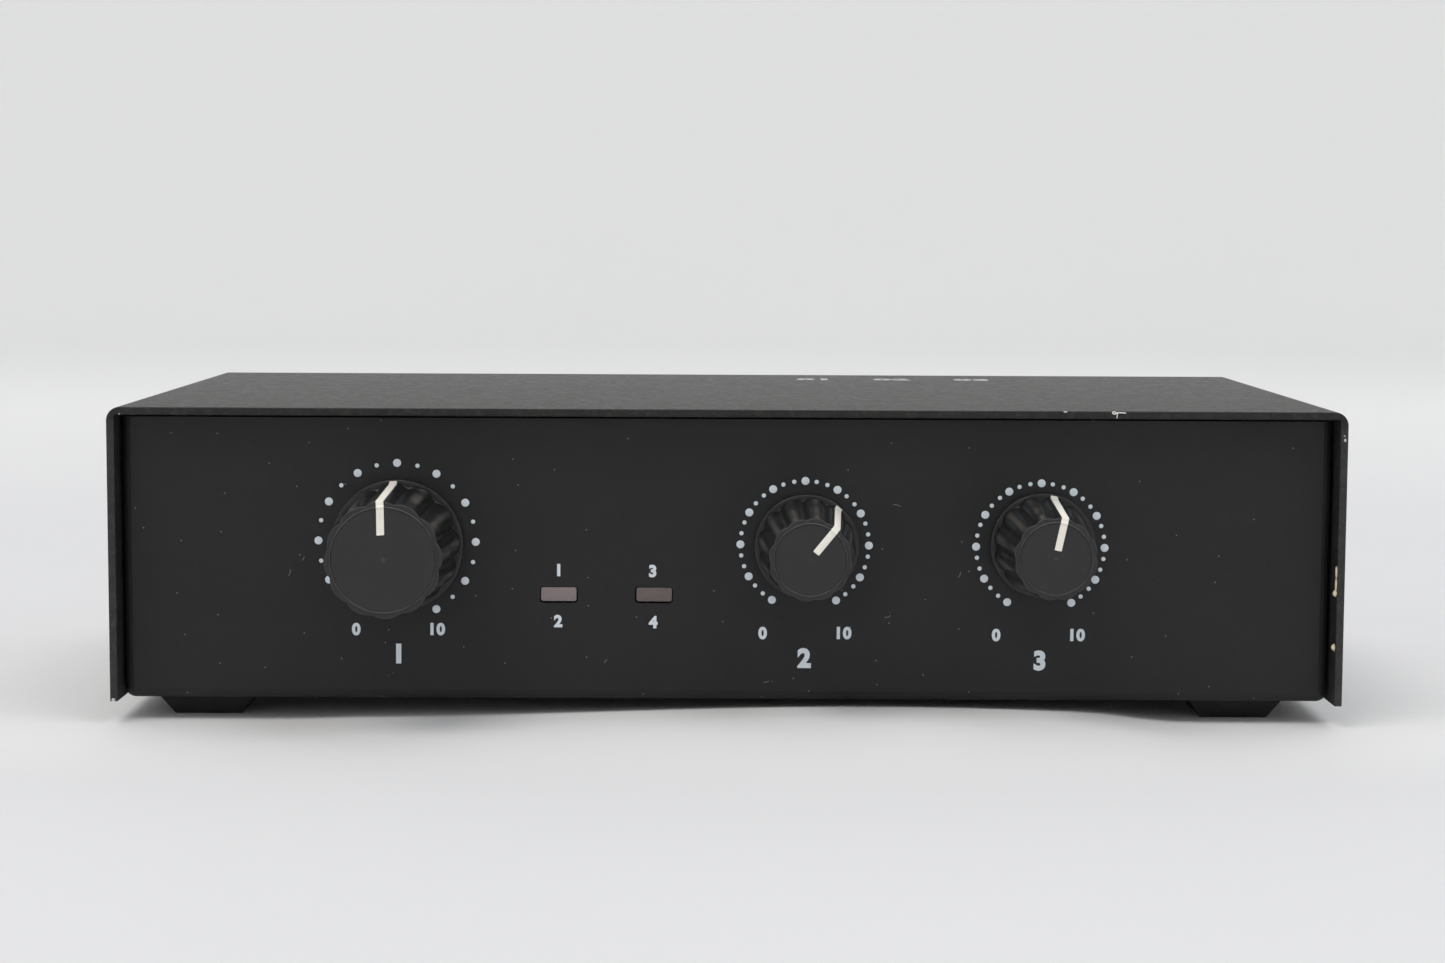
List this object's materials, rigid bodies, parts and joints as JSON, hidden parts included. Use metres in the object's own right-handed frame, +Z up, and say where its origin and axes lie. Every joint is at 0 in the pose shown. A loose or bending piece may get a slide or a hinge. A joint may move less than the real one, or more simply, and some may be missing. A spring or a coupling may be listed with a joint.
{
  "type": "morse code keyer",
  "caption": "Desktop Morse code keyer in a flat folded-steel case, with fluted control knobs, status lamps and a row of rear sockets for radio, paddle, computer and power.",
  "frame": {"origin": "under the middle of the whole object's box, on the surface its feet stand on", "axes": "+X to the right seen from the front, +Y from the front panel to the rear panel, +Z up"},
  "size_m": [0.1758, 0.1112, 0.0444],
  "materials": {
    "powder_coat": "fine black powder coat",
    "panel_paint": "smooth black paint",
    "rubber": "matte black rubber",
    "black_plastic": "satin black plastic",
    "cream_plastic": "warm white inlay",
    "lamp_lens": "unlit tinted diffuser",
    "nickel": "nickel plate",
    "zinc": "zinc plate",
    "brass": "plain brass",
    "black_screw": "black oxide",
    "circuit_board": "green solder mask",
    "blue_plastic": "glossy blue plastic",
    "aluminium": "plain aluminium",
    "ferrite": "dark laminated core"
  },
  "bodies": {
    "case": {"cover": "powder_coat", "chassis": "panel_paint", "foot_front_left": "rubber", "cover_screw_front_left": "black_screw", "standoff_front_left": "nickel", "board_screw_front_left": "zinc", "foot_front_right": "rubber", "cover_screw_front_right": "black_screw", "standoff_front_right": "nickel", "board_screw_front_right": "zinc", "foot_rear_left": "rubber", "cover_screw_rear_left": "black_screw", "standoff_rear_left": "nickel", "board_screw_rear_left": "zinc", "foot_rear_right": "rubber", "cover_screw_rear_right": "black_screw", "standoff_rear_right": "nickel", "board_screw_rear_right": "zinc", "speed_control": "zinc", "speed_nut": "nickel", "speed_washer": "nickel", "computer_control": "zinc", "computer_nut": "nickel", "computer_washer": "nickel", "radio_control": "zinc", "radio_nut": "nickel", "radio_washer": "nickel", "left_lamp": "lamp_lens", "right_lamp": "lamp_lens", "main_board": "circuit_board", "microcontroller": "black_plastic", "usb_chip": "black_plastic", "audio_in_jack": "black_plastic", "audio_out_jack": "black_plastic", "paddle_jack": "black_plastic", "power_socket": "black_plastic", "radio_socket": "black_plastic", "computer_transformer": "ferrite", "radio_transformer": "ferrite", "keying_relay": "blue_plastic", "filter_capacitor": "aluminium", "crystal": "nickel", "phono_socket_inner": "nickel", "phono_socket_middle": "nickel", "phono_socket_outer": "nickel", "paddle_nut": "nickel", "jack_screw_left": "nickel", "jack_screw_right": "nickel", "usb_socket": "nickel", "ground_post": "brass", "ground_nut": "brass"},
    "speed_rotor": {"speed_knob": "black_plastic", "speed_pointer": "cream_plastic", "speed_shaft": "aluminium"},
    "computer_rotor": {"computer_knob": "black_plastic", "computer_pointer": "cream_plastic", "computer_shaft": "aluminium"},
    "radio_rotor": {"radio_knob": "black_plastic", "radio_pointer": "cream_plastic", "radio_shaft": "aluminium"}
  },
  "joints": [
    {"name": "speed_turn", "type": "hinge", "parent": "case", "child": "speed_rotor", "pos_m": [-0.04599, -0.03673, 0.02508], "axis": [0, 1, 0], "range_deg": [-146, 154]},
    {"name": "computer_turn", "type": "hinge", "parent": "case", "child": "computer_rotor", "pos_m": [0.01115, -0.03673, 0.02516], "axis": [0, 1, 0], "range_deg": [-189, 111]},
    {"name": "radio_turn", "type": "hinge", "parent": "case", "child": "radio_rotor", "pos_m": [0.04407, -0.03673, 0.02545], "axis": [0, 1, 0], "range_deg": [-162, 138]}
  ]
}
